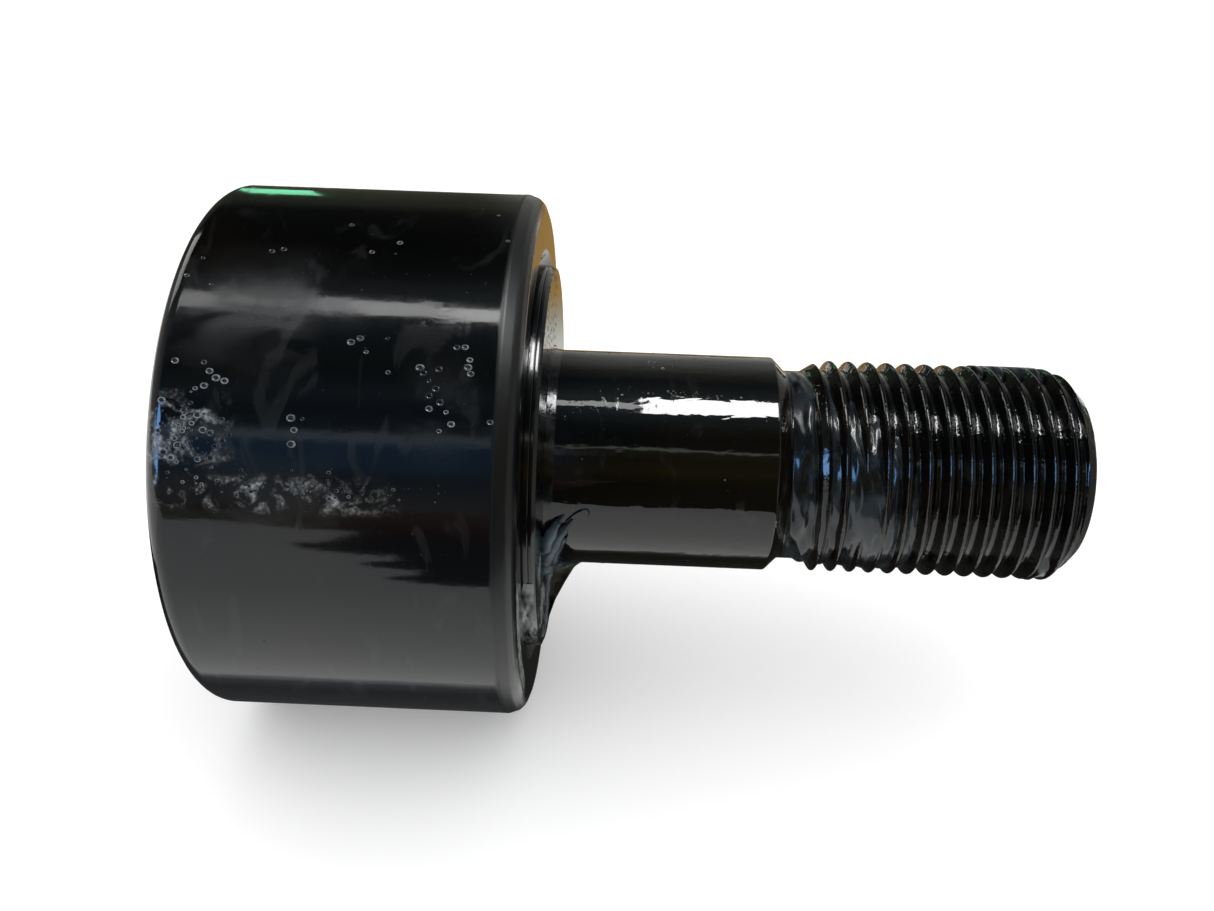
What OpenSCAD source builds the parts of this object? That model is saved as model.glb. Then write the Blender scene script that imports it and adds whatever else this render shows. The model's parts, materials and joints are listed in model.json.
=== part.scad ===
// Stud-type cam follower (track roller), inch series, 1 1/2 in roller on a 5/8-18 stud.
// The axis of everything that turns is +X. The origin is the centre of the mounting face, the outer
// face of the end plate, which clamps against a bracket. The stud points to +X and the head to -X.
// Millimetres, +Z up.

/* [Roller] */
// Outside diameter of the roller
roller_d = 38.1; // [36:0.1:42]
// Width of the roller's outer ring
roller_w = 22.225; // [21:0.005:26]
// Radius of the roller's outer corners
roller_corner = 1.4; // [0.4:0.1:2.4]
// How far the head and the end plate stand proud of the roller's faces
face_proud = 0.79375; // [0.4:0.00625:1.2]

/* [Stud] */
// Diameter of the plain shank
shank_d = 15.875; // [14.8:0.005:16]
// Length from the mounting face to the tip
stud_length = 38.1; // [36:0.1:44]
// Length from the mounting face to the end of the plain shank
shank_length = 16.05; // [12:0.05:17]
// Diameter of the relief groove between shank and thread
relief_d = 14.0; // [13.8:0.05:14.1]
// Width of the head's screwdriver slot
slot_w = 3.2; // [1.6:0.1:3.6]
// Depth of the head's screwdriver slot
slot_depth = 1.6; // [0.8:0.1:1.8]

/* [Thread] */
// Distance between neighbouring threads, 18 to the inch
thread_pitch = 1.41111; // [1.3:0.00001:1.6]
// Diameter over the crests
thread_d = 15.7; // [15.4:0.05:15.8]
// Facets in one turn of the thread
thread_steps = 40; // [24:1:60]

/* [Needles] */
// Diameter of a needle
needle_d = 3.0; // [2.8:0.05:3.0]
// Number of needles in the cage
needle_count = 16; // [8:1:16]
// Diameter of the raceway on the stud
raceway_d = 18.6; // [18.4:0.05:18.8]
// Play between a needle and each raceway
needle_play = 0.03; // [0.02:0.005:0.05]

/* [Side plates and seals] */
// Diameter of the head and of the end plate
plate_d = 28.2; // [27.6:0.1:28.6]
// Thickness of the head and of the end plate
plate_t = 3.2; // [3:0.1:3.4]
// Diameter of the seat that the end plate is pressed on
seat_d = 16.4; // [16.2:0.05:16.8]

/* [Hidden] */
$fn = 96;

// Places along the axis
mount_x = 0;
plate_in_x = mount_x - plate_t;
ring_out_x = mount_x - face_proud;
ring_in_x = ring_out_x - roller_w;
head_out_x = ring_in_x - face_proud;
head_in_x = head_out_x + plate_t;
race_mid_x = (head_in_x + plate_in_x) / 2;
tip_x = mount_x + stud_length;

// How far a cutting solid runs past the solid that it cuts
past = 1;

// Stud
shank_r = shank_d / 2;
head_chamfer = 0.4;
relief_w = 2.2;
relief_end_x = shank_length + relief_w;
grease_bore_r = 2.0;
cross_hole_r = 1.2;
cross_hole_x = 8.73;

// Thread: the depth and the widths of the crest and the root are parts of a pitch
thread_depth = 0.55 * thread_pitch;
thread_crest = 1 / 8;
thread_root = 1 / 4;
// Where round the axis the thread starts, in degrees from +Y towards +Z
thread_turn = 188;
thread_overlap = 0.25;
// The bar with the thread on it starts a little more than a pitch before the part that is kept
thread_spare = 0.05;
thread_from_x = relief_end_x - thread_overlap - thread_pitch - thread_spare;
thread_turns = ceil((tip_x - thread_from_x) / thread_pitch) + 1;
runout_angle = 32;
tip_core_r = 6.45;
thread_clear = 0.5;

// Needles and cage
raceway_r = raceway_d / 2;
needle_r = needle_d / 2;
pitch_r = raceway_r + needle_play + needle_r;
ring_race_r = pitch_r + needle_r + needle_play;
cage_end_gap = 0.15;
cage_end_w = 1.0;
cage_t = 1.5;
cage_in_r = pitch_r - cage_t / 2;
cage_out_r = pitch_r + cage_t / 2;
cage_l = plate_in_x - head_in_x - 2 * cage_end_gap;
pocket_l = cage_l - 2 * cage_end_w;
pocket_play = 0.05;
pocket_w = needle_d + 2 * pocket_play;
needle_end_gap = 0.08;
needle_l = pocket_l - 2 * needle_end_gap;
needle_chamfer = 0.25;

// Recess in each face of the outer ring, with its thrust disc and its seal
plate_r = plate_d / 2;
plate_gap = 0.25;
recess_r = plate_r + plate_gap;
recess_past_plate = 1.2;
recess_depth = plate_t - face_proud + recess_past_plate;
recess_chamfer = 0.9;
disc_play = 0.08;
disc_step_in = 0.3;
disc_fit = 0.03;
disc_in_r = ring_race_r + disc_step_in;
disc_out_r = recess_r - disc_fit;
seal_groove_depth = 0.55;
seal_groove_w = 1.0;
seal_groove_from_face = 1.2;
seal_groove_r = recess_r + seal_groove_depth;
seal_groove_x = ring_out_x - seal_groove_from_face;
seal_fit = 0.02;
seal_lip_gap = 0.06;
seal_lip_l = 0.6;
seal_lip_t = 0.13;
seal_lip_step = 0.06;

// End plate, with a fine line turned in its rim
plate_chamfer = 0.25;
rim_line_x = mount_x - 0.42;
rim_line_w = 0.12;
rim_line_depth = 0.08;

// Plugs in the ends of the grease passages
plug_l = 2.5;
plug_recess = 0.35;
plug_dimple_r = 1.1;

function needle_name(i) = str("needle_", i < 10 ? "0" : "", i);

// Turns +Z into +X, so that a shape made along Z lies along the follower's axis.
module on_axis() {
    rotate([0, 90, 0]) children();
}

// A solid of revolution about the axis, from a 2D shape in (radius, x).
module turned() {
    on_axis() rotate_extrude() children();
}

// A rod along the axis from x0 to x1.
module rod(r, x0, x1) {
    on_axis() translate([0, 0, x0]) cylinder(r = r, h = x1 - x0);
}

// The same 2D shape or solid mirrored to the head's side of the roller.
module head_side() {
    translate([2 * race_mid_x, 0, 0]) mirror([1, 0, 0]) children();
}

// ---- Thread ----

// The thread's form over one pitch: crest, flank, root, flank. Each corner as [part of a pitch, radius].
thread_form = [
    [0, thread_d / 2],
    [thread_crest, thread_d / 2],
    [0.5 + (thread_crest - thread_root) / 2, thread_d / 2 - thread_depth],
    [0.5 + (thread_crest + thread_root) / 2, thread_d / 2 - thread_depth]
];

// Corner m of the form, counted from the first turn on, at step i around the axis. Right-handed.
function thread_corner(i, m) =
    let (
        corner = thread_form[m % 4],
        turn = 360 * i / thread_steps,
        x = thread_from_x + (floor(m / 4) + corner[0] + i / thread_steps) * thread_pitch
    )
    [x, corner[1] * cos(turn), corner[1] * sin(turn)];

// A solid bar with the thread outside. Its ends are ramps one pitch high, which thread() cuts off.
module thread_bar() {
    rows = 4 * thread_turns + 1;
    count = thread_steps * rows;
    last = rows - 1;
    // Going once round moves the form on by one pitch, which is four corners.
    function at(i, m) = i < thread_steps ? i * rows + m : m + 4 < rows ? m + 4 : count + m + 4 - rows;
    points = concat(
        [for (i = [0 : thread_steps - 1], m = [0 : last]) thread_corner(i, m)],
        [for (m = [rows : rows + 3]) thread_corner(0, m)],
        [[thread_from_x + thread_pitch / 2, 0, 0]],
        [[thread_from_x + (thread_turns + 0.5) * thread_pitch, 0, 0]]
    );
    first_end = count + 4;
    last_end = count + 5;
    near = [for (i = [0 : thread_steps - 1], m = [0 : last - 1]) [at(i, m), at(i, m + 1), at(i + 1, m)]];
    far = [for (i = [0 : thread_steps - 1], m = [0 : last - 1]) [at(i + 1, m), at(i, m + 1), at(i + 1, m + 1)]];
    first_ramp = [for (i = [0 : thread_steps - 1]) [first_end, at(i, 0), at(i + 1, 0)]];
    first_step = [for (m = [0 : 3]) [first_end, m + 1, m]];
    last_ramp = [for (i = [0 : thread_steps - 1]) [last_end, at(i + 1, last), at(i, last)]];
    last_step = [for (m = [last - 4 : last - 1]) [last_end, at(thread_steps, m), at(thread_steps, m + 1)]];
    polyhedron(points, concat(near, far, first_ramp, first_step, last_ramp, last_step));
}

// The threaded end, with a cone where it leaves the relief groove and a cone at the tip.
module thread() {
    // The cutting shape's radius, clear of the crests
    thread_out_r = thread_d / 2 + thread_clear;
    intersection() {
        rotate([thread_turn, 0, 0]) thread_bar();
        turned() polygon([
            [0, relief_end_x - thread_overlap],
            [relief_d / 2 - thread_overlap, relief_end_x - thread_overlap],
            [thread_out_r, relief_end_x + (thread_out_r - relief_d / 2) / tan(runout_angle)],
            [thread_out_r, tip_x - (thread_out_r - tip_core_r)],
            [tip_core_r, tip_x],
            [0, tip_x]
        ]);
    }
}

// ---- Stud ----

module stud_profile() {
    polygon([
        [0, head_out_x],
        [plate_r - head_chamfer, head_out_x],
        [plate_r, head_out_x + head_chamfer],
        [plate_r, head_in_x],
        [raceway_r, head_in_x],
        [raceway_r, plate_in_x],
        [seat_d / 2, plate_in_x],
        [seat_d / 2, mount_x],
        [shank_r, mount_x],
        [shank_r, shank_length],
        [relief_d / 2, shank_length + shank_r - relief_d / 2],
        [relief_d / 2, relief_end_x + thread_overlap],
        [0, relief_end_x + thread_overlap]
    ]);
}

module driver_slot() {
    translate([head_out_x - past, -plate_d, -slot_w / 2]) cube([past + slot_depth, 2 * plate_d, slot_w]);
}

module stud() {
    color("#1c1d20") difference() {
        union() {
            turned() stud_profile();
            thread();
        }
        rod(grease_bore_r, head_out_x - past, tip_x + past);
        driver_slot();
        // Grease holes: from the bore to the needles, and from the bore to the shank's surface
        translate([race_mid_x, 0, 0]) cylinder(r = cross_hole_r, h = raceway_d);
        translate([cross_hole_x, 0, 0]) rotate([-90, 0, 0]) cylinder(r = cross_hole_r, h = shank_d);
    }
}

// ---- Side plate, outer ring and what sits in its recesses ----

module end_plate() {
    color("#202124") turned() polygon([
        [seat_d / 2, plate_in_x],
        [plate_r, plate_in_x],
        [plate_r, rim_line_x - rim_line_w],
        [plate_r - rim_line_depth, rim_line_x - rim_line_w / 2],
        [plate_r, rim_line_x],
        [plate_r, mount_x - plate_chamfer],
        [plate_r - plate_chamfer, mount_x],
        [seat_d / 2, mount_x]
    ]);
}

// What is cut from the ring's plate side: the step that takes the plate, and the seal's groove.
module recess() {
    turned() polygon([
        [0, ring_out_x - recess_depth],
        [recess_r, ring_out_x - recess_depth],
        [recess_r, seal_groove_x - seal_groove_w],
        [seal_groove_r, seal_groove_x - seal_groove_w],
        [seal_groove_r, seal_groove_x],
        [recess_r, seal_groove_x],
        [recess_r, ring_out_x - recess_chamfer],
        [recess_r + recess_chamfer + past, ring_out_x + past],
        [0, ring_out_x + past]
    ]);
}

module outer_ring() {
    corner_r = roller_d / 2 - roller_corner;
    color("#151618") difference() {
        turned() union() {
            translate([raceway_r, ring_in_x]) square([corner_r - raceway_r, roller_w]);
            translate([raceway_r, ring_in_x + roller_corner])
                square([roller_d / 2 - raceway_r, roller_w - 2 * roller_corner]);
            for (x = [ring_in_x + roller_corner, ring_out_x - roller_corner])
                translate([corner_r, x]) circle(r = roller_corner);
        }
        rod(ring_race_r, ring_in_x - past, ring_out_x + past);
        recess();
        head_side() recess();
    }
}

// It lies on the recess's floor and runs beside the end plate's inner face.
module thrust_disc() {
    color("#d8d2bd") turned() translate([disc_in_r, plate_in_x - recess_past_plate])
        square([disc_out_r - disc_in_r, recess_past_plate - disc_play]);
}

// A rubber ring held in the outer ring's groove, with a thin lip that runs by the plate's rim.
module seal() {
    lip_in_r = plate_r + seal_lip_gap;
    body_in_r = lip_in_r + seal_lip_step;
    body_out_r = seal_groove_r - seal_fit;
    lip_out_r = body_in_r + seal_lip_t;
    color("#26211f") turned() polygon([
        [body_in_r, seal_groove_x - seal_groove_w + seal_fit],
        [body_out_r, seal_groove_x - seal_groove_w + seal_fit],
        [body_out_r, seal_groove_x - seal_fit],
        [lip_out_r, seal_groove_x - seal_fit],
        [lip_out_r, seal_groove_x + seal_lip_l - seal_lip_t],
        [body_in_r, seal_groove_x + seal_lip_l],
        [lip_in_r, seal_groove_x + seal_lip_l - seal_lip_step],
        [body_in_r, seal_groove_x]
    ]);
}

// ---- Cage and needles ----

module needle_place(i) {
    rotate([360 * (i - 0.5) / needle_count, 0, 0]) translate([race_mid_x, 0, pitch_r]) children();
}

module needle_cage() {
    color("#8d8a80") difference() {
        rod(cage_out_r, race_mid_x - cage_l / 2, race_mid_x + cage_l / 2);
        rod(cage_in_r, race_mid_x - cage_l, race_mid_x + cage_l);
        for (i = [1 : needle_count])
            needle_place(i) cube([pocket_l, pocket_w, 4 * needle_d], center = true);
    }
}

module needle(i) {
    color("#c9ccd0") needle_place(i) rotate([0, 90, 0]) rotate_extrude() polygon([
        [0, -needle_l / 2],
        [needle_r - needle_chamfer, -needle_l / 2],
        [needle_r, -needle_l / 2 + needle_chamfer],
        [needle_r, needle_l / 2 - needle_chamfer],
        [needle_r - needle_chamfer, needle_l / 2],
        [0, needle_l / 2]
    ]);
}

// ---- Plugs ----

// A plug with a dimple in its outer end, made along +X with that end at x = 0.
module plug(r, length) {
    color("#9a9ca0") difference() {
        rod(r, -length, 0);
        translate([plug_dimple_r / 2, 0, 0]) sphere(r = plug_dimple_r);
    }
}

module plug_head() {
    translate([head_out_x + slot_depth + plug_recess, 0, 0]) mirror([1, 0, 0]) plug(grease_bore_r, plug_l);
}

module plug_tip() {
    translate([tip_x - plug_recess, 0, 0]) plug(grease_bore_r, plug_l);
}

module plug_shank() {
    translate([cross_hole_x, shank_r - plug_recess, 0]) rotate([0, 0, 90]) plug(cross_hole_r, plug_l);
}

stud();
end_plate();
outer_ring();
needle_cage();
seal();  // seal_plate_side
head_side() seal();  // seal_head_side
thrust_disc();  // thrust_disc_plate_side
head_side() thrust_disc();  // thrust_disc_head_side
plug_head();
plug_tip();
plug_shank();
for (i = [1 : needle_count])
    needle(i);
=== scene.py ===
import json
import random
from math import atan, ceil, cos, hypot, pi, radians, sin, sqrt, tan

import bmesh
import bpy
import numpy as np
from mathutils import Matrix, Vector


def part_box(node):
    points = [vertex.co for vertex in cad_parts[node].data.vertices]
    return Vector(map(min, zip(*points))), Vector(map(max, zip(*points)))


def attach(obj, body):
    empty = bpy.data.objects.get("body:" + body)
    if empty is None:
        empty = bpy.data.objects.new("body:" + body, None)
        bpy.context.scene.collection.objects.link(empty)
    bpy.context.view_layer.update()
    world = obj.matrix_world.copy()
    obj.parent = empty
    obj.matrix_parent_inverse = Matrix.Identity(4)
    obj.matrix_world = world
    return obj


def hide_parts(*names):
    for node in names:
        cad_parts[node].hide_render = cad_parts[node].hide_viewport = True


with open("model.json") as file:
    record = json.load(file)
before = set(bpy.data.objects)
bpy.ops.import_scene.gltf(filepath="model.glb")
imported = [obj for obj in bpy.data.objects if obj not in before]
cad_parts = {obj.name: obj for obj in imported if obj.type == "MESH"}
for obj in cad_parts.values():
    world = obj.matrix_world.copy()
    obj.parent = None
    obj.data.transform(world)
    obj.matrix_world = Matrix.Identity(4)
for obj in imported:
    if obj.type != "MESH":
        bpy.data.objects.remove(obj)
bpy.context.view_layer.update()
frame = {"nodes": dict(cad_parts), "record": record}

# A stud-type cam follower in oiled black-oxide steel, lying on its roller.
# Metres throughout, in the CAD frame: the stud points to +X, +Z is up, and -Y is towards the viewer.
# An angle round the axis counts from -Y, the viewer's side, up towards +Z.

MM = 0.001

# ---- Sizes that come from the frame ----

RING_LO, RING_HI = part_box("outer_ring")
STUD_LO, STUD_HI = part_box("stud")
PLATE_LO, PLATE_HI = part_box("end_plate")
PLUG_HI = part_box("plug_tip")[1]
CROSS_LO, CROSS_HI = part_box("plug_shank")
SHANK_DIMS = next(mount["dims"] for mount in frame["record"]["mounts"] if mount["name"] == "shank")

ROLLER_R = RING_HI.z
RING_OUT_X = RING_HI.x
RING_IN_X = RING_LO.x
HEAD_X = STUD_LO.x
TIP_X = STUD_HI.x
PLATE_R = PLATE_HI.z
PLATE_OUT_X = PLATE_HI.x
PLATE_IN_X = PLATE_LO.x
HEAD_IN_X = HEAD_X + PLATE_OUT_X - PLATE_IN_X
SHANK_R = SHANK_DIMS["r_mm"] * MM
SHANK_END_X = SHANK_DIMS["length_mm"] * MM
BORE_R = PLUG_HI.z
CROSS_HOLE_X = (CROSS_LO.x + CROSS_HI.x) / 2
CROSS_HOLE_R = (CROSS_HI.x - CROSS_LO.x) / 2
FLOOR_Z = RING_LO.z

# ---- Sizes that repeat part.scad ----

RING_CORNER = 1.4 * MM
RECESS_R = PLATE_R + 0.25 * MM
RECESS_DEPTH = 3.606 * MM
RECESS_CHAMFER = 0.9 * MM
SEAL_GROOVE_R = RECESS_R + 0.55 * MM
SEAL_GROOVE_FROM_FACE = 1.2 * MM
SEAL_GROOVE_W = 1.0 * MM
RING_RACE_R = 12.36 * MM
STUD_RACE_R = 9.3 * MM
SEAT_R = 8.2 * MM
HEAD_CHAMFER = 0.4 * MM
PLATE_CHAMFER = 0.25 * MM
RIM_LINE_X = -0.42 * MM
RIM_LINE_W = 0.12 * MM
RIM_LINE_DEPTH = 0.08 * MM
SLOT_W = 3.2 * MM
SLOT_DEPTH = 1.6 * MM
RELIEF_R = 7.0 * MM
RELIEF_END_X = SHANK_END_X + 2.2 * MM
CORE_R = 6.45 * MM
THREAD_PITCH = 1.41111 * MM
THREAD_R = 7.85 * MM
THREAD_DEPTH = 0.55 * THREAD_PITCH
THREAD_CREST = 1 / 8
THREAD_ROOT = 1 / 4
THREAD_TURN = radians(188)
THREAD_FROM_X = RELIEF_END_X - 0.25 * MM - THREAD_PITCH - 0.05 * MM
RUNOUT_SLOPE = tan(radians(32))

# ---- Sizes of the visual model only ----

ROUND_SEGMENTS = 256
RING_SEGMENTS = 384
SHARP_ANGLE = 35
ALL_SMOOTH = 180
MERGE_DISTANCE = 1e-7
# The plate's rim falls away very slightly from here to its outer edge
RIM_CROWN_X = -0.9 * MM
RIM_SLOPE = 0.09
# The ring's worn corner: points along a 1.4 mm rounding as shares of it, and the fillet at each
WORN_CORNER = ((0.871, 0.0), (0.393, 0.174), (0.174, 0.393), (0.0, 0.871))
WORN_FILLET_MM = 0.5


# ---- Making meshes ----


def placed(name, data):
    """A new object in the scene."""
    made = bpy.data.objects.new(name, data)
    bpy.context.scene.collection.objects.link(made)
    return made


def add_mesh(name, points, faces, material, sharp_angle=SHARP_ANGLE):
    """A smooth-shaded mesh piece with its edges kept sharp above an angle in degrees."""
    mesh = bpy.data.meshes.new(name)
    mesh.from_pydata([tuple(p) for p in points], [], faces)
    build = bmesh.new()
    build.from_mesh(mesh)
    bmesh.ops.remove_doubles(build, verts=build.verts, dist=MERGE_DISTANCE)
    bmesh.ops.recalc_face_normals(build, faces=build.faces)
    build.to_mesh(mesh)
    build.free()
    mesh.shade_smooth()
    mesh.set_sharp_from_angle(angle=radians(sharp_angle))
    mesh.materials.append(material)
    return placed(name, mesh)


def grid_faces(rows, columns, round_rows=False, round_columns=False):
    """Quads over a grid of points laid out row by row, closed up round its rows or columns when asked."""
    faces = []
    for i in range(rows if round_rows else rows - 1):
        here = i * columns
        there = (i + 1) % rows * columns
        for k in range(columns if round_columns else columns - 1):
            across = (k + 1) % columns
            faces.append((here + k, here + across, there + across, there + k))
    return faces


def add_part(points, faces, more, quads):
    """Adds one more part's points and faces to a mesh's lists."""
    start = len(points)
    points += more
    faces += [tuple(start + k for k in quad) for quad in quads]


def soft_piece(name, body, points, faces, material):
    """A piece with no sharp edges that rides on a body."""
    piece = add_mesh(name, points, faces, material, ALL_SMOOTH)
    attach(piece, body)
    return piece


def rounded(corners, steps=5):
    """The outline through corners (x, radius, fillet in mm) with each corner rounded by its fillet."""
    outline = []
    count = len(corners)
    for i, (x, r, fillet) in enumerate(corners):
        here = Vector((x, r))
        if fillet <= 0:
            outline.append(here)
            continue
        before = Vector(corners[i - 1][:2]) - here
        after = Vector(corners[(i + 1) % count][:2]) - here
        half = before.angle(after) / 2
        reach = min(fillet * MM / tan(half), before.length * 0.49, after.length * 0.49)
        radius = reach * tan(half)
        middle = here + (before.normalized() + after.normalized()).normalized() * radius / sin(half)
        first = here + before.normalized() * reach - middle
        last = here + after.normalized() * reach - middle
        for k in range(steps + 1):
            outline.append(middle + first.lerp(last, k / steps).normalized() * radius)
    return outline


def round_point(x, r, angle):
    """The point at an angle round the axis, counted from the viewer's side upwards."""
    return Vector((x, -r * cos(angle), r * sin(angle)))


def even_shading(piece):
    """Keeps long faces shaded flat right up to the small roundings beside them."""
    step = piece.modifiers.new("even_shading", "WEIGHTED_NORMAL")
    step.mode = "FACE_AREA"
    step.weight = 90
    step.keep_sharp = True


def revolved(name, corners, material, segments=ROUND_SEGMENTS, steps=5):
    """A ring-shaped solid turned about the axis from a closed outline of (x, radius, fillet)."""
    outline = rounded(corners, steps)
    points = []
    for i in range(segments):
        points += [round_point(p.x, p.y, 2 * pi * i / segments) for p in outline]
    faces = grid_faces(segments, len(outline), round_rows=True, round_columns=True)
    piece = add_mesh(name, points, faces, material)
    even_shading(piece)
    return piece


def cut_out(piece, cutters):
    """Cuts solids out of a piece, with the result applied to its mesh."""
    piece.modifiers.clear()
    for cutter in cutters:
        step = piece.modifiers.new("cut", "BOOLEAN")
        step.operation = "DIFFERENCE"
        step.solver = "EXACT"
        step.object = cutter
    depsgraph = bpy.context.evaluated_depsgraph_get()
    result = bpy.data.meshes.new_from_object(piece.evaluated_get(depsgraph))
    piece.modifiers.clear()
    material = piece.data.materials[0]
    piece.data = result
    result.materials.clear()
    result.materials.append(material)
    result.shade_smooth()
    result.set_sharp_from_angle(angle=radians(SHARP_ANGLE))
    for cutter in cutters:
        bpy.data.objects.remove(cutter)
    even_shading(piece)


def cutter_block(low, high):
    """A block to cut with, between two corners."""
    build = bmesh.new()
    bmesh.ops.create_cube(build, size=1)
    middle = (Vector(low) + Vector(high)) / 2
    size = Vector(high) - Vector(low)
    bmesh.ops.scale(build, vec=size, verts=build.verts)
    bmesh.ops.translate(build, vec=middle, verts=build.verts)
    return cutter_from(build)


def cutter_rod(start, end, radius):
    """A round rod to cut with, from start to end."""
    build = bmesh.new()
    line = Vector(end) - Vector(start)
    turn = line.to_track_quat("Z", "Y").to_matrix().to_4x4()
    place = Matrix.Translation((Vector(start) + Vector(end)) / 2) @ turn
    bmesh.ops.create_cone(
        build, cap_ends=True, segments=48, radius1=radius, radius2=radius, depth=line.length, matrix=place
    )
    return cutter_from(build)


def cutter_from(build):
    """The shape in build as an object that is only there to cut with."""
    mesh = bpy.data.meshes.new("cutter")
    build.to_mesh(mesh)
    build.free()
    return placed("cutter", mesh)


# ---- Material helpers ----


def node(tree, kind, inputs=None, **settings):
    """A shader node with its settings, and its inputs as numbers or as other nodes' outputs."""
    made = tree.nodes.new(kind)
    for name, setting in settings.items():
        setattr(made, name, setting)
    for key, source in (inputs or {}).items():
        if isinstance(source, bpy.types.NodeSocket):
            tree.links.new(source, made.inputs[key])
        else:
            made.inputs[key].default_value = source
    return made


def math_of(tree, operation, first, second=0.0):
    return node(tree, "ShaderNodeMath", {0: first, 1: second}, operation=operation).outputs[0]


def times(tree, first, second):
    return math_of(tree, "MULTIPLY", first, second)


def plus(tree, total, *layers):
    """total with layers added to it, each a source and how much of it."""
    for source, amount in layers:
        total = math_of(tree, "ADD", total, times(tree, source, amount))
    return total


def ranged(tree, source, low, high, to_low=0.0, to_high=1.0):
    """source mapped from low..high to to_low..to_high, smoothly and clamped."""
    inputs = {"Value": source, "From Min": low, "From Max": high, "To Min": to_low, "To Max": to_high}
    return node(tree, "ShaderNodeMapRange", inputs, interpolation_type="SMOOTHSTEP").outputs["Result"]


def noise(tree, scale, detail=3.0, stretch=(1, 1, 1), distortion=0.0, shift=(0, 0, 0)):
    """Noise in the piece's own coordinates, in metres. A small stretch value draws it out along that axis."""
    place = node(tree, "ShaderNodeTexCoord").outputs["Object"]
    mapped = node(tree, "ShaderNodeMapping", {"Vector": place, "Scale": stretch, "Location": shift})
    inputs = {"Vector": mapped.outputs[0], "Scale": scale, "Detail": detail, "Distortion": distortion}
    return node(tree, "ShaderNodeTexNoise", inputs).outputs[0]


def mixed(tree, share, *colours):
    """Two colours mixed by share."""
    first, second = ((*c, 1) if isinstance(c, tuple) else c for c in colours)
    return node(tree, "ShaderNodeMix", {0: share, 6: first, 7: second}, data_type="RGBA").outputs[2]


def ramp(tree, source, stops, low, high, unit):
    """A colour that changes with source, through stops (place, red, green, blue) with colours in thousandths.
    low and high are the end places, and unit is what one step of place is worth in source."""
    inputs = {"Value": source, "From Min": low * unit, "From Max": high * unit}
    share = node(tree, "ShaderNodeMapRange", inputs).outputs["Result"]
    made = node(tree, "ShaderNodeValToRGB", {0: share})
    points = made.color_ramp.elements
    while len(points) < len(stops):
        points.new(0.5)
    for point, (place, *colour) in zip(points, stops):
        point.position = (place - low) / (high - low)
        point.color = (*(c / 1000 for c in colour), 1)
    return made.outputs[0]


def bumped(tree, height, distance, below=None):
    """A bump of a given depth in metres, laid over another one."""
    inputs = {"Height": height, "Distance": distance, "Strength": 1.0}
    if below is not None:
        inputs["Normal"] = below
    return node(tree, "ShaderNodeBump", inputs).outputs[0]


def new_material(name):
    material = bpy.data.materials.new(name)
    material.use_nodes = True
    tree = material.node_tree
    return material, tree, tree.nodes["Principled BSDF"]


def feed(tree, shader, colour, rough, normal=None):
    """Links a colour, a roughness and a bump to the shader."""
    for name, source in (("Base Color", colour), ("Roughness", rough), ("Normal", normal)):
        if source is not None:
            tree.links.new(source, shader.inputs[name])


def axes(tree, space="Object"):
    """The x, y and z of a place in the piece's own coordinates, in metres, or in another space."""
    place = node(tree, "ShaderNodeTexCoord").outputs[space]
    return node(tree, "ShaderNodeSeparateXYZ", {0: place}).outputs


def zone(tree, x_from, x_to, angle_from, angle_to, soft_x=1.5, soft_angle=8):
    """A soft-edged patch on a round surface, between two x in mm and two angles in degrees."""
    x, y, z = axes(tree)
    angle = math_of(tree, "ARCTAN2", z, times(tree, y, -1.0))
    patch = 1.0
    for source, low, high, soft, unit in (
        (x, x_from, x_to, soft_x, MM),
        (angle, angle_from, angle_to, soft_angle, radians(1)),
    ):
        past_low = ranged(tree, source, (low - soft) * unit, (low + soft) * unit)
        before_high = ranged(tree, source, (high - soft) * unit, (high + soft) * unit, 1.0, 0.0)
        patch = times(tree, times(tree, past_low, before_high), patch)
    return patch


# ---- Materials ----


def foam_on(tree, places):
    """How much foamed oil there is, over patches given like zone's, and its fine grain, whose pale colour is
    partly the foam's own and partly a painted sparkle.
    """
    grain = noise(tree, 4600, 3, shift=(0.8, 0.1, 0.3))
    clumps = ranged(tree, noise(tree, 620, 6, distortion=1.0, shift=(0.2, 0.9, 0.5)), 0.45, 0.66)
    total = 0.0
    for patch in places:
        total = math_of(tree, "ADD", zone(tree, *patch, 1.2, 1.6), total)
    foam = times(tree, clumps, total)
    return foam, times(tree, foam, ranged(tree, grain, 0.42, 0.66))


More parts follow.
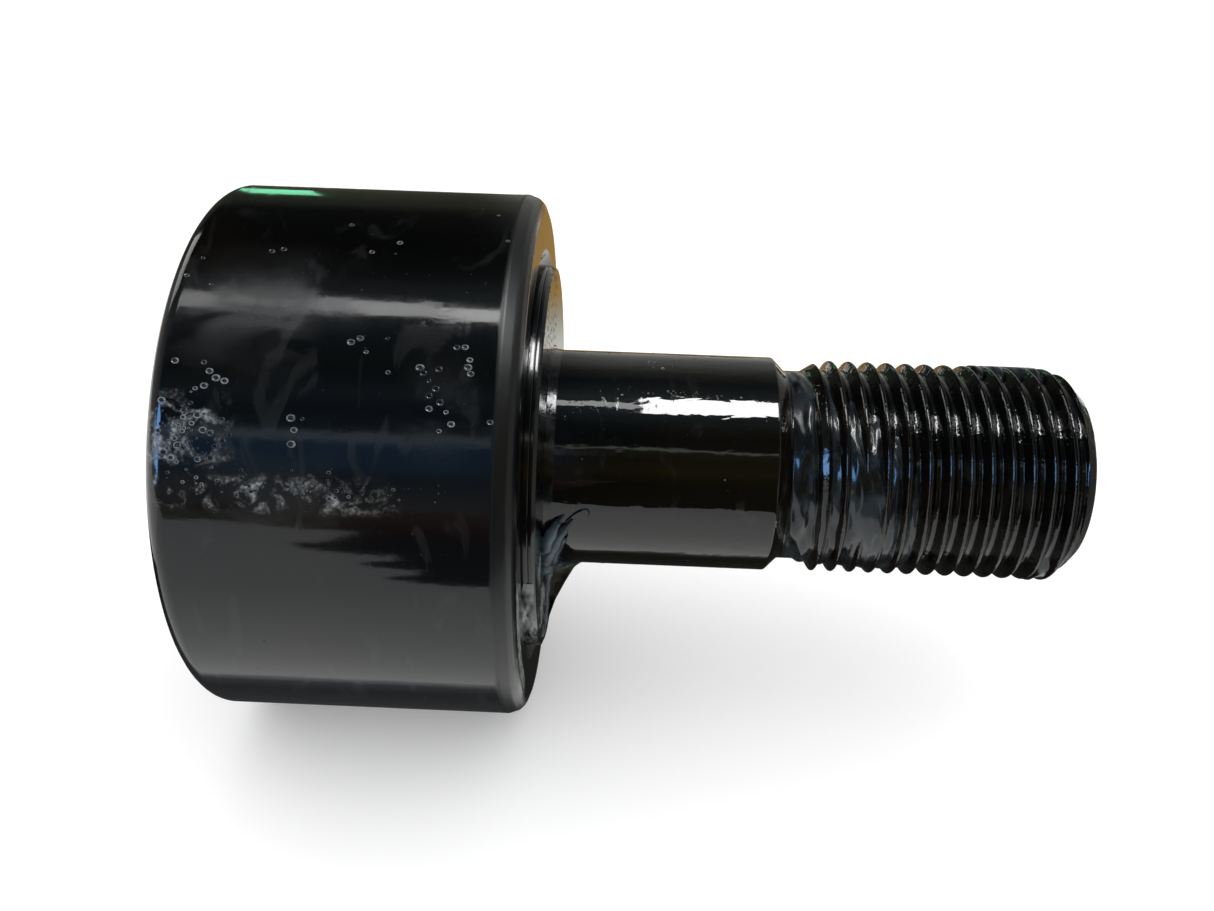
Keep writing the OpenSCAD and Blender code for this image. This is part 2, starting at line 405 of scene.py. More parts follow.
def oiled_black(
    name, gloss, ripple, smear_low, zones=(), foamy=(), worn=(), specked=(), lines=0.05, fine=6e-6, wavy=260
):
    """Black oxide under an oil film: fine turned lines, waves in the oil, smears and specks of dust. gloss is
    the clean film's roughness, lines what the turned lines add, and ripple and fine the depths of its waves.
    Patches are zone's: it is smeared most in the zones, dried to foam in the foamy ones and gritty in the
    specked ones. The worn ones also say how soft their edges are and how dull they are. A higher wavy makes
    the slow waves shorter, and a lower smear_low makes more smears."""
    material, tree, shader = new_material(name)
    turned_lines = noise(tree, 2600, 4, stretch=(1, 0.012, 0.012))
    waves = noise(tree, wavy, 3, distortion=0.8)
    fine_waves = noise(tree, 1000, 2, stretch=(0.32, 1, 1), distortion=0.5, shift=(0.1, 0.8, 0.3))
    slow = noise(tree, 70, 2, shift=(0.3, 0.1, 0.2))
    smear_noise = noise(tree, 420, 6, stretch=(1, 0.45, 0.45), distortion=1.2, shift=(0.5, 0.2, 0.9))
    specks = noise(tree, 5200, 1, shift=(0.7, 0.4, 0.1))
    film = ranged(tree, smear_noise, smear_low, smear_low + 0.1)
    cloud = noise(tree, 330, 5, distortion=0.7, stretch=(0.5, 1, 1), shift=(0.4, 0.3, 0.6))
    patchy = ranged(tree, cloud, 0.4, 0.62)
    patches = 0.0
    for patch in zones:
        patches = plus(tree, patches, (zone(tree, *patch), patchy))
    dust = ranged(tree, specks, 0.76, 0.8)
    rough = plus(tree, gloss, (turned_lines, lines), (film, 0.06), (patches, 0.14), (dust, 0.2))
    for *patch, soft_x, dulled in worn:
        rough = plus(tree, rough, (zone(tree, *patch, soft_x, 12), dulled))
    for patch in specked:
        grit = ranged(tree, noise(tree, 2400, 3, shift=(0.6, 0.3, 0.8)), 0.56, 0.6)
        rough = plus(tree, rough, (times(tree, zone(tree, *patch, 0.3, 10), grit), 0.7))
    tints = [(film, 0.3, (0.016, 0.017, 0.017)), (patches, 0.6, (0.014, 0.015, 0.016))]
    heights = [(waves, ripple), (fine_waves, fine), (film, 3e-6)]
    if foamy:
        foam, sparkle = foam_on(tree, foamy)
        rough = plus(tree, rough, (foam, 0.3))
        # The foam's grey is its own; the pale grain on it is partly its own and partly a painted sparkle
        tints += [(foam, 0.8, (0.065, 0.068, 0.066)), (sparkle, 0.75, (0.24, 0.25, 0.245))]
        heights.append((sparkle, 22e-6))
    tints.append((dust, 0.3, (0.05, 0.05, 0.045)))
    colour = mixed(tree, ranged(tree, slow, 0.42, 0.62), (0.0011, 0.0012, 0.0013), (0.0026, 0.0021, 0.0014))
    for share, amount, tint in tints:
        colour = mixed(tree, times(tree, share, amount), colour, tint)
    normal = bumped(tree, turned_lines, 0.6e-6)
    for height, depth in heights:
        normal = bumped(tree, height, depth, below=normal)
    feed(tree, shader, colour, rough, normal)
    shader.inputs["IOR"].default_value = 1.5
    return material


def grease(name, thin, thick, clear, gloss=0.22, ridges=60e-6):
    """Soft grease, paler where it is thick, with stringy ridges and small bubbles. clear is how much light it
    lets through, and ridges is their depth."""
    material, tree, shader = new_material(name)
    strings = noise(tree, 1300, 5, distortion=2.0, stretch=(1, 0.5, 0.5))
    lumps = noise(tree, 480, 4, shift=(0.2, 0.6, 0.4))
    bubbles = node(tree, "ShaderNodeTexVoronoi", {"Scale": 2600.0}, feature="F1").outputs["Distance"]
    bubble = ranged(tree, bubbles, 0.0, 0.35, 1.0, 0.0)
    colour = mixed(tree, ranged(tree, lumps, 0.4, 0.62), thin, thick)
    rough = plus(tree, gloss - 0.1, (strings, 0.22))
    normal = bumped(tree, strings, ridges)
    normal = bumped(tree, bubble, ridges / 5, below=normal)
    feed(tree, shader, colour, rough, normal)
    shader.inputs["Transmission Weight"].default_value = clear
    shader.inputs["IOR"].default_value = 1.47
    return material


def oil_drop(name, clear, milky, milk_from=0.38):
    """A drop of oil: glossy, more or less milky, with fine wrinkles. On a drop's rim its pale colour is also a
    painted highlight.
    """
    material, tree, shader = new_material(name)
    wrinkles = noise(tree, 6000, 3)
    milk = noise(tree, 700, 2)
    colour = mixed(tree, ranged(tree, milk, milk_from, milk_from + 0.24), clear, milky)
    rough = ranged(tree, wrinkles, 0.3, 0.7, 0.05, 0.22)
    feed(tree, shader, colour, rough, bumped(tree, wrinkles, 4e-6))
    shader.inputs["IOR"].default_value = 1.47
    return material


def bearing_steel(name, colour, gloss):
    """Ground bearing steel with fine grinding lines and a thin film of oil."""
    material, tree, shader = new_material(name)
    lines = noise(tree, 3000, 4, stretch=(1, 0.02, 0.02))
    stain = noise(tree, 350, 5, distortion=0.8)
    stained = mixed(tree, ranged(tree, stain, 0.45, 0.68), colour, tuple(0.62 * c for c in colour))
    rough = ranged(tree, lines, 0.3, 0.7, gloss, gloss + 0.16)
    feed(tree, shader, stained, rough, bumped(tree, lines, 1.2e-6))
    shader.inputs["Metallic"].default_value = 1.0
    return material


def seal_rubber():
    """Black nitrile rubber, matt, with a bloom of oil and a grained surface."""
    material, tree, shader = new_material("seal_rubber")
    grain = noise(tree, 7000, 4)
    oily = noise(tree, 500, 4, distortion=1.0)
    oil = ranged(tree, oily, 0.45, 0.6)
    colour = mixed(tree, oil, (0.022, 0.019, 0.017), (0.007, 0.007, 0.007))
    rough = plus(tree, 0.55, (oil, -0.3))
    feed(tree, shader, colour, rough, bumped(tree, grain, 5e-6))
    return material


def thrust_polymer():
    """Cream acetal, slightly waxy, stained by oil."""
    material, tree, shader = new_material("thrust_polymer")
    stain = noise(tree, 300, 5, distortion=1.2)
    rings = noise(tree, 1800, 3, stretch=(1, 0.02, 0.02))
    colour = mixed(tree, ranged(tree, stain, 0.42, 0.64), (0.62, 0.57, 0.43), (0.2, 0.15, 0.08))
    rough = ranged(tree, stain, 0.35, 0.7, 0.42, 0.22)
    feed(tree, shader, colour, rough, bumped(tree, rings, 3e-6))
    return material


def pale_floor():
    """A plain pale matt floor, with the faintest mottling."""
    material, tree, shader = new_material("pale_floor")
    mottle = noise(tree, 9, 3)
    colour = mixed(tree, mottle, (0.86, 0.86, 0.86), (0.89, 0.89, 0.89))
    feed(tree, shader, colour, ranged(tree, mottle, 0.2, 0.8, 0.85, 0.95))
    shader.inputs["Specular IOR Level"].default_value = 0.1
    # A faint even glow of its own: painted light that lifts the shadows on the floor
    shader.inputs["Emission Color"].default_value = (1, 1, 1, 1)
    shader.inputs["Emission Strength"].default_value = 0.22
    return material


# ---- Roller ----


def recess_outline(face_x, side):
    """The recess in one face of the ring, from the face's edge down to the raceway. side is 1 for the plate's
    side and -1 for the head's side."""
    groove_x = face_x - side * SEAL_GROOVE_FROM_FACE
    floor_x = face_x - side * RECESS_DEPTH
    return [
        (face_x, RECESS_R + RECESS_CHAMFER, 0.12),
        (face_x - side * RECESS_CHAMFER, RECESS_R, 0.1),
        (groove_x, RECESS_R, 0),
        (groove_x, SEAL_GROOVE_R, 0),
        (groove_x - side * SEAL_GROOVE_W, SEAL_GROOVE_R, 0),
        (groove_x - side * SEAL_GROOVE_W, RECESS_R, 0),
        (floor_x, RECESS_R, 0.1),
        (floor_x, RING_RACE_R, 0.08),
    ]


def worn_corner():
    """The ring's corner on the plate's side, from tread to face, slightly flattened in three bands."""
    x, r = RING_OUT_X, ROLLER_R
    return [(x - RING_CORNER * a, r - RING_CORNER * b, WORN_FILLET_MM) for a, b in WORN_CORNER]


def ring_body(material):
    """The outer ring, with a recess and a seal groove in each face."""
    outline = [(RING_IN_X, ROLLER_R, RING_CORNER / MM), *worn_corner()]
    outline += recess_outline(RING_OUT_X, 1)
    outline += reversed(recess_outline(RING_IN_X, -1))
    ring = revolved("ring_body", outline, material, segments=RING_SEGMENTS, steps=10)
    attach(ring, "roller")
    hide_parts("outer_ring")


# ---- Stud ----


def stud_body(material):
    """The head, raceway, seat, shank and relief groove, and the thread's core."""
    outline = [
        (HEAD_X, BORE_R, 0.05),
        (HEAD_X, PLATE_R - HEAD_CHAMFER, 0.08),
        (HEAD_X + HEAD_CHAMFER, PLATE_R, 0.08),
        (HEAD_IN_X, PLATE_R, 0.1),
        (HEAD_IN_X, STUD_RACE_R, 0.1),
        (PLATE_IN_X, STUD_RACE_R, 0.1),
        (PLATE_IN_X, SEAT_R, 0),
        (PLATE_OUT_X, SEAT_R, 0.06),
        (PLATE_OUT_X, SHANK_R, 0.05),
        (SHANK_END_X, SHANK_R, 0.25),
        (SHANK_END_X + SHANK_R - RELIEF_R, RELIEF_R, 0.35),
        (RELIEF_END_X + 0.4 * MM, RELIEF_R, 0),
        (RELIEF_END_X + 0.5 * MM, CORE_R, 0),
        (TIP_X, CORE_R, 0),
        (TIP_X, BORE_R, 0.12),
    ]
    stud = revolved("stud_body", outline, material)
    past_rim = 2 * PLATE_R
    slot_low = (HEAD_X - SLOT_DEPTH, -past_rim, -SLOT_W / 2)
    slot = cutter_block(slot_low, (HEAD_X + SLOT_DEPTH, past_rim, SLOT_W / 2))
    hole = cutter_rod((CROSS_HOLE_X, CROSS_LO.y, 0), (CROSS_HOLE_X, 2 * SHANK_R, 0), CROSS_HOLE_R)
    cut_out(stud, [slot, hole])
    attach(stud, "stud")
    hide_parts("stud")


def thread_form(share):
    """The thread's radius at a share of a pitch, with softly rounded corners."""
    half = (THREAD_CREST - THREAD_ROOT) / 2
    places = [0, THREAD_CREST, 0.5 + half, 0.5 + half + THREAD_ROOT]
    radii = [THREAD_R, THREAD_R, THREAD_R - THREAD_DEPTH, THREAD_R - THREAD_DEPTH]
    spread = np.linspace(-0.05, 0.05, 11)
    return np.mean([np.interp(share + s, places, radii, period=1) for s in spread], axis=0)


def thread_limit(x):
    """How far out the cones at the relief groove and at the tip let the thread reach."""
    return np.minimum(RELIEF_R + (x - RELIEF_END_X) * RUNOUT_SLOPE, CORE_R + (TIP_X - x))


def stud_thread(material):
    """The thread as a grid that winds with the helix, so that its crests stay crisp."""
    per_pitch = 20
    columns = 160
    turns = ceil((TIP_X - THREAD_FROM_X) / THREAD_PITCH) + 1
    places = np.arange(per_pitch * turns + 1) / per_pitch
    form = thread_form(places % 1.0)
    points = []
    for i in range(columns + 1):
        x = THREAD_FROM_X + (places + i / columns) * THREAD_PITCH
        radius = np.minimum(form, thread_limit(x))
        # What would lie past the tip folds back inside the core
        x = np.where(x > TIP_X, TIP_X - 0.5 * (x - TIP_X), x)
        turn = THREAD_TURN + 2 * pi * i / columns
        points += [Vector((a, r * cos(turn), r * sin(turn))) for a, r in zip(x, radius)]
    thread = add_mesh("stud_thread", points, grid_faces(columns + 1, len(places)), material, sharp_angle=70)
    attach(thread, "stud")


# ---- End plate ----


def rim_r(x):
    """The plate's radius where its rim falls away slightly towards the outer edge."""
    return PLATE_R - RIM_SLOPE * (x - RIM_CROWN_X)


def plate_body(material):
    """The end plate, with the fine line turned round its rim."""
    outline = [
        (PLATE_IN_X, SEAT_R, 0),
        (PLATE_IN_X, PLATE_R, 0.1),
        (RIM_CROWN_X, PLATE_R, 0),
        (RIM_LINE_X - RIM_LINE_W, rim_r(RIM_LINE_X - RIM_LINE_W), 0.02),
        (RIM_LINE_X - RIM_LINE_W / 2, PLATE_R - RIM_LINE_DEPTH, 0.02),
        (RIM_LINE_X, rim_r(RIM_LINE_X), 0.02),
        (PLATE_OUT_X - PLATE_CHAMFER, rim_r(PLATE_OUT_X - PLATE_CHAMFER), 0.05),
        (PLATE_OUT_X, PLATE_R - PLATE_CHAMFER, 0.06),
        (PLATE_OUT_X, SEAT_R, 0.1),
    ]
    plate = revolved("plate_body", outline, material, steps=4)
    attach(plate, "stud")
    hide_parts("end_plate")


# ---- Oil and grease ----


# A drop's outline from its middle to its edge, as shares of its radius and of its height
DROP_OUTLINE = ((0.0, 0.42), (0.4, 0.46), (0.62, 0.6), (0.74, 0.92), (0.84, 1.0), (0.94, 0.62), (1.0, -0.15))
DROP_CLEAR_SHARE = 0.62
DROP_ROUND = 14
DROP_SCALE = 0.86


def drop_points(x, angle, surface_r, size, height, turn):
    """One drop on a round surface: a raised rim round a shallow middle."""
    up = round_point(0, 1, angle)
    side = Vector((1, 0, 0))
    across = up.cross(side)
    centre = round_point(x, surface_r, angle)
    points = []
    for share, lift in DROP_OUTLINE:
        for k in range(DROP_ROUND):
            bearing = turn + 2 * pi * k / DROP_ROUND
            squash = 1 + 0.12 * cos(2 * bearing)
            reach = share * size * squash
            sag = surface_r - sqrt(max(surface_r**2 - (reach * sin(bearing)) ** 2, 0))
            offset = side * cos(bearing) * reach + across * sin(bearing) * reach
            points.append(centre + offset + up * (lift * height - sag))
    return points


def drops(name, body, materials, surface_r, places, chance):
    """Drops on a round surface, with a clear middle and a pale rim, partly milky oil and partly a painted
    highlight. Each place is x, angle and radius, in mm and degrees."""
    points = []
    faces = []
    quads = grid_faces(len(DROP_OUTLINE), DROP_ROUND, round_columns=True)
    for x, angle, size in places:
        height = size * MM * chance.uniform(0.22, 0.34)
        turn = chance.uniform(0, pi)
        drop = drop_points(x * MM, radians(angle), surface_r, size * MM, height, turn)
        add_part(points, faces, drop, quads)
    piece = soft_piece(name, body, points, faces, materials[0])
    piece.data.materials.append(materials[1])
    centres = np.array([round_point(x * MM, surface_r, radians(angle)) for x, angle, size in places])
    sizes = np.array([size * MM for x, angle, size in places])
    for face in piece.data.polygons:
        share = np.linalg.norm(centres - np.array(face.center), axis=1) / sizes
        face.material_index = int(share.min() > DROP_CLEAR_SHARE * 0.98)


def ring_drop_places(chance):
    """Single drops, a chain of them, and a cluster of fine ones near the ring's far edge."""
    places = [
        (-6.74, 39.7, 0.3), (-6.5, 38.7, 0.26), (-6.14, 37.3, 0.16), (-5.69, 35.9, 0.27),
        (-6.07, 34.6, 0.24), (-5.4, 33.5, 0.26), (-6.02, 32.3, 0.25), (-5.02, 31.8, 0.17),
        (-4.68, 29.7, 0.25), (-5.37, 28.4, 0.18), (-5.61, 39.5, 0.26), (-4.67, 43.8, 0.24),
        (-4.18, 43.9, 0.24), (-3.83, 41.5, 0.22), (-3.91, 40.1, 0.28), (-3.72, 38.9, 0.24),
        (-2.4, 30.3, 0.22), (-10.98, 44.1, 0.27), (-10.46, 44.9, 0.25), (-8.6, 38.6, 0.18),
        (-10.02, 42.3, 0.17), (-14.09, 29.7, 0.3), (-13.87, 27.6, 0.24), (-14, 25.1, 0.29),
        (-19.14, 37.6, 0.26), (-18.71, 36.4, 0.29), (-18.19, 35.9, 0.26), (-19.37, 34.9, 0.26),
        (-21.27, 39.3, 0.26), (-19.54, 39.2, 0.2), (-21.78, 32, 0.26), (-20.41, 30.4, 0.24),
        (-19.6, 29.6, 0.27), (-19.22, 27, 0.28), (-18.77, 26.5, 0.26), (-18.69, 22.1, 0.27),
        (-19.48, 21.8, 0.24), (-18.01, 25.2, 0.22), (-18.47, 24.2, 0.22), (-20.68, 24.2, 0.28),
        (-21.47, 22.8, 0.26), (-21.05, 21.9, 0.24), (-21.69, 57.1, 0.2), (-16.96, 64.1, 0.22),
        (-16.26, 64.8, 0.22), (-12.56, 73.4, 0.2), (-10.74, 64.9, 0.2), (-9.15, 67.9, 0.22),
    ]
    gauss, uniform, draw = chance.gauss, chance.uniform, chance.random
    places += [(gauss(-20.6, 0.9), gauss(26.5, 3.4), 0.06 + 0.14 * draw() ** 2) for _ in range(75)]
    places += [(gauss(-13.5, 3.6), gauss(17.6, 1.3), 0.05 + 0.12 * draw() ** 2) for _ in range(90)]
    places += [(uniform(-21.5, -2.3), uniform(-160, 200), 0.08 + 0.12 * draw()) for _ in range(26)]
    return [(x, angle, r * DROP_SCALE) for x, angle, r in places if -21.9 < x < -2.0]


def shank_drop_places(chance):
    """Fine drops all over the shank, with more of them on its top, under the highlight and by the plate."""
    gauss, uniform, draw = chance.gauss, chance.uniform, chance.random
    places = [(uniform(0.8, 15.6), uniform(-170, 190), 0.04 + 0.06 * draw() ** 2) for _ in range(46)]
    places += [(uniform(5.5, 11.5), gauss(82, 6), 0.04 + 0.09 * draw() ** 2) for _ in range(16)]
    places += [(gauss(9.5, 2.6), gauss(59.5, 1.6), 0.04 + 0.05 * draw() ** 2) for _ in range(34)]
    places += [(uniform(0.9, 3.5), gauss(48, 5), 0.04 + 0.05 * draw() ** 2) for _ in range(14)]
    return places


def oil_meniscus(material):
    """Oil drawn up in the corner between the plate's face and the shank, as a shallow fillet."""
    slope_in = 0.165
    slope_out = 0.122
    wide = 0.55 * MM
    taper = 0.12 * MM
    shares = np.linspace(0, 1, 13)
    drop_in = wide * (slope_in * shares + (slope_out - slope_in) * shares**2 / 2)
    drop_out = slope_out * taper * (shares - shares**2 / 2)
    height = drop_in[-1] + drop_out[-1]
    foot = PLATE_OUT_X + 0.005 * MM
    near = [(foot + wide * a, SHANK_R + height - d, 0) for a, d in zip(shares, drop_in)]
    far = [(foot + wide + taper * a, SHANK_R + height - drop_in[-1] - d, 0) for a, d in zip(shares, drop_out)]
    low = SHANK_R - 0.05 * MM
    outline = [(foot, low, 0), *near, *far[1:], (foot + wide + taper, low, 0)]
    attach(revolved("oil_meniscus", outline, material), "stud")


def smooth_noise(rows, columns, waves_x, waves_round, chance, layers=4):
    """Soft noise over a grid that closes up round its columns, from about -1 to 1."""
    along = np.linspace(0, 1, rows)[:, None]
    around = np.linspace(0, 2 * pi, columns, endpoint=False)[None, :]
    total = np.zeros((rows, columns))
    for layer in range(layers):
        for _ in range(5):
            turns = round(waves_round * 2**layer * chance.uniform(0.4, 1.3))
            cycles = 2 * pi * waves_x * 2**layer * chance.uniform(0.4, 1.3)
            phase = chance.uniform(0, 2 * pi)
            sign = chance.choice((-1, 1))
            total += np.cos(cycles * along + sign * turns * around + phase) / (1.7**layer)
    return total / 5.5


def bell(value, centre, width, power):
    """1 at the centre, falling away within a width, with squarer shoulders for a higher power."""
    return np.exp(-(((value - centre) / width) ** power))


def thread_grease(material, chance):
    """Grease left in the thread's grooves and dragged over some of its crests. It is a sheet that sinks under
    the steel wherever there is none."""
    rows = 330
    columns = 220
    start = SHANK_END_X + 0.95 * MM
    end = TIP_X - 1.2 * MM
    x = np.linspace(start, end, rows)[:, None]
    turn = np.linspace(0, 2 * pi, columns, endpoint=False)[None, :]
    places = (x - THREAD_FROM_X) / THREAD_PITCH - (turn - THREAD_TURN) / (2 * pi)
    steel = np.minimum(thread_form(places % 1.0), thread_limit(x))
    steel = np.where(x < RELIEF_END_X, RELIEF_R, steel)
    angle = np.degrees((2 * pi - turn) % (2 * pi) - pi)
    reach = (x - start) / (end - start)
    # Each heap: how much, then its middle, width and squareness round the axis and along it
    heaps = (
        (0.85, (8, 48, 2), (0.26, 0.17, 2)), (0.5, (-60, 45, 2), (0.35, 0.3, 2)),
        (1.2, (118, 24, 4), (0.8, 0.17, 4)), (1.0, (-75, 48, 4), (0.97, 0.07, 4)),
        (0.4, (30, 75, 4), (0.045, 0.045, 2)),
    )
    amount = 0.26 * smooth_noise(rows, columns, 5, 4, chance, 3) - 0.1 * reach - 0.25
    for much, around, along in heaps:
        amount = amount + much * bell(angle, *around) * bell(reach, *along)
    streaks = smooth_noise(rows, columns, 10, 3, chance, 2)
    hollow = 0.14 * (2 * ((places + 0.5) % 1.0) - 1) ** 2 - 0.06
    fill = np.clip(amount * 1.5 + 0.14 * streaks + hollow, -0.6, 1.08)
    skin = 0.035 * MM * np.clip(amount * 2.0 - 1.7 + 1.1 * streaks, -1, 1)
    radius = np.maximum(THREAD_R - THREAD_DEPTH * (1 - fill), steel + skin)
    radius = np.minimum(radius, THREAD_R + 0.08 * MM)
    radius = np.where((reach < 0.006) | (reach > 0.985), steel - 0.1 * MM, radius)
    sheet = np.stack(np.broadcast_arrays(x, radius * np.cos(turn), radius * np.sin(turn)), axis=-1)
    bare = (radius < steel - 0.012 * MM).ravel()
    faces = [f for f in grid_faces(rows, columns, round_columns=True) if not all(bare[k] for k in f)]
    soft_piece("thread_grease", "stud", sheet.reshape(-1, 3), faces, material)


def strand(path, radii, around=8):
    """Points and faces of a string of grease along a path, with its own radius at each point."""
    points = []
    for i, here in enumerate(path):
        ahead = path[min(i + 1, len(path) - 1)] - path[max(i - 1, 0)]
        facing = ahead.to_track_quat("Z", "Y")
        for k in range(around):
            bearing = 2 * pi * k / around
            points.append(here + facing @ (Vector((cos(bearing), sin(bearing), 0)) * radii[i]))
    return points, grid_faces(len(path), around, round_columns=True)


def curve_points(anchors, count):
    """A smooth run of points through anchors (x, radius, angle), in mm and degrees."""
    spots = np.array(anchors, float)
    known = np.linspace(0, 1, len(anchors))
    wanted = np.linspace(0, 1, count)
    runs = []
    for column in range(3):
        fit = np.interp(wanted, known, spots[:, column])
        runs.append(np.convolve(np.pad(fit, 2, mode="edge"), np.ones(5) / 5, mode="valid"))
    return [round_point(x * MM, r * MM, radians(a)) for x, r, a in zip(*runs)]


def grease_strands(material):
    """Strings of grease drawn from the plate's face on to the shank."""
    # Each string: its path, and its first and last radius in mm
    strings = [
        ([(0, 8.8, -24), (0.45, 8.5, -18), (0.9, 8.2, -11.5), (1.2, 8.05, -8.5), (1.49, 8, -5.6)], 0.62, 0.04),
        ([(0, 8.8, -33), (0.6, 8.5, -26), (1.2, 8.2, -17.5), (1.7, 8.05, -12), (2.14, 8, -8.2)], 0.74, 0.05),
        ([(0, 8.8, -42), (0.4, 8.5, -36), (0.8, 8.3, -30), (1.2, 8.15, -24), (1.6, 8, -19)], 0.74, 0.22),
        ([(0, 8.9, -52), (0.25, 8.6, -47), (0.5, 8.4, -42), (0.8, 8.2, -36), (1.1, 8, -29)], 0.66, 0.22),
        ([(1.5, 8, -11), (2.2, 8.05, -5), (2.9, 8.06, -2.2), (3.25, 8.03, -3.6), (3.15, 7.98, -7)], 0.06, 0.05),
        ([(0.05, 8.9, -56), (0.4, 8.5, -52), (0.8, 8.2, -50), (1.5, 8.02, -58), (2.62, 7.96, -67)], 0.5, 0.07),
        ([(0.05, 12.8, -66), (0.1, 11.6, -60), (0.14, 10.4, -55), (0.2, 9.4, -50), (0.4, 8.5, -44)], 0.16, 0.4),
    ]
    points = []
    faces = []
    for anchors, first, last in strings:
        path = curve_points(anchors, 22)
        shares = np.linspace(0, 1, len(path))
        radii = (first + (last - first) * shares) * (1 + 0.1 * np.sin(shares * 23)) * MM
        add_part(points, faces, *strand(path, radii))
    soft_piece("grease_strands", "stud", points, faces, material)


def grease_fin(material):
    """A thin web of grease in the corner between the plate's face and the shank's underside. Its free edge is
    a hollow curve, given as (x, radius) in mm from the shank to the plate."""
    edge = np.array([(2.62, 7.93), (2.07, 8.33), (1.43, 9.43), (0.72, 10.83), (0.3, 12.15), (0.02, 13.7)])
    rows = 30
    columns = 14
    corner_x = 0.02
    under = -67
    known = np.linspace(0, 1, len(edge))
    points = []
    for side in (1, -1):
        for i in range(rows):
            share = i / (rows - 1)
            edge_x, edge_r = (np.interp(share, known, edge[:, column]) for column in range(2))
            # The row starts in the corner and ends on the free edge
            corner_r = 7.9 + 3.2 * share
            for k in range(columns):
                along = k / (columns - 1)
                x = corner_x + (edge_x - corner_x) * along
                r = corner_r + (edge_r - corner_r) * along
                wave = sin(9 * share + 2) * 1.6 + sin(5 * along + 4 * share) * 1.4
                ridge = 0.07 + 0.16 * along**6 + 0.05 * sin(13 * share + 6 * along) ** 2
                points.append(round_point(x * MM, r * MM, radians(under + wave * along) + side * ridge / r))
    layer = rows * columns
    faces = grid_faces(rows, columns)
    faces += [tuple(layer + k for k in quad) for quad in faces]
    for i in range(rows - 1):
        here = i * columns + columns - 1
        faces.append((here, here + columns, here + columns + layer, here + layer))
    soft_piece("grease_fin", "stud", points, faces, material)


def smear(name, body, material, spot, across, angles, seed, lift):
    """A thin mottled film of grease on a round piece. spot gives the point for a place across the patch, an
    angle and a height over the surface. across and lift are in mm, and angles in degrees."""
    rows = 26
    columns = 90
    field = smooth_noise(rows, columns, 2.0, 4, random.Random(seed))
    points = []
    for i in range(rows):
        row_share = i / (rows - 1)
        place = across[0] + (across[1] - across[0]) * row_share
        for k in range(columns):
            round_share = k / (columns - 1)
            edge = min(row_share, 1 - row_share) * 4
            ends = min(round_share, 1 - round_share) * 5
            height = lift * MM * (min(edge, ends, 1.0) * (0.7 + 0.8 * field[i, k]) - 0.15)
            angle = radians(angles[0] + (angles[1] - angles[0]) * round_share)
            points.append(spot(place * MM, angle, height))
    soft_piece(name, body, points, grid_faces(rows, columns), material)


def on_ring_face(r, angle, height):
    return round_point(RING_OUT_X + height, r, angle)


def on_plate_face(r, angle, height):
    return round_point(PLATE_OUT_X + height, r, angle)


def on_plate_rim(x, angle, height):
    return round_point(x, PLATE_R + height, angle)


# ---- Floor, light and camera ----


def glow(name, stops, strength):
    """A material that gives off a colour that changes with the distance in front, as stops in mm."""
    material, tree, shader = new_material(name)
    tree.nodes.remove(shader)
    colour = ramp(tree, axes(tree)["Y"], stops, stops[0][0], stops[-1][0], MM)
    light = node(tree, "ShaderNodeEmission", {"Color": colour, "Strength": strength})
    tree.links.new(light.outputs[0], tree.nodes["Material Output"].inputs[0])
    return material


def flat_sheet(name, corners, material):
    """One flat face through its corners, in mm."""
    mesh = bpy.data.meshes.new(name)
    mesh.from_pydata([Vector(corner) * MM for corner in corners], [], [range(len(corners))])
    mesh.materials.append(material)
    return placed(name, mesh)


def room_card(name, corners, stops, strength=1.3):
    """A glowing card, from corners in mm, that only reflections see: its glow is a painted reflection,
    standing in for a studio flag or reflector.
    """
    card = flat_sheet(name, corners, glow(name, stops, strength))
    for ray in ("camera", "diffuse", "shadow", "transmission"):
        setattr(card, "visible_" + ray, False)


def floor_sheet():
    """The floor, 8 m square, just under the roller."""
    half = 4000
    corners = [(-half, -half), (half, -half), (half, half), (-half, half)]
    floor = flat_sheet("floor", [(x, y, FLOOR_Z / MM) for x, y in corners], pale_floor())


def area_light(name, place, size, radiance, colour=(1, 1, 1), turn=None):
    """A rectangular light with a given radiance. It faces the object unless turn says otherwise."""
    lamp = bpy.data.lights.new(name, "AREA")
    lamp.shape = "RECTANGLE"
    lamp.size = size[0]
    lamp.size_y = size[1]
    lamp.energy = radiance * pi * size[0] * size[1]
    lamp.color = colour
    light = placed(name, lamp)
    if turn is None:
        turn = (-Vector(place)).to_track_quat("-Z", "Y").to_matrix().to_4x4()
    light.matrix_world = Matrix.Translation(place) @ turn
    light.visible_camera = False
    return light


def overhead_strips():
    """The row of tubes overhead, seen in the steel as one long highlight, brightest past the middle."""
    height = 0.7
    runs = (
        (-0.62, -0.26, -0.09, 0.13, 3.2, 0),
        (-0.26, -0.17, -0.11, 0.12, 5.0, 0),
        (-0.17, -0.07, -0.14, 0.105, 7.5, 0),
        (-0.07, 0.025, -0.145, 0.11, 5.6, 0),
        (0.025, 0.17, -0.13, 0.32, 24.0, 0),
        (0.17, 0.27, -0.09, 0.12, 20.0, 0),
        (0.27, 0.5, -0.22, 0.1, 26.0, -0.75),
    )
    for number, (x_from, x_to, y, width, radiance, slope) in enumerate(runs, 1):
        middle = Vector(((x_from + x_to) / 2 * height, y * height, height))
        size = ((x_to - x_from) * height * hypot(1, slope), width * height)
        turn = Matrix.Rotation(atan(slope), 4, "Z")
        light = area_light(f"strip_{number}", middle, size, radiance, turn=turn)
        light.visible_diffuse = False


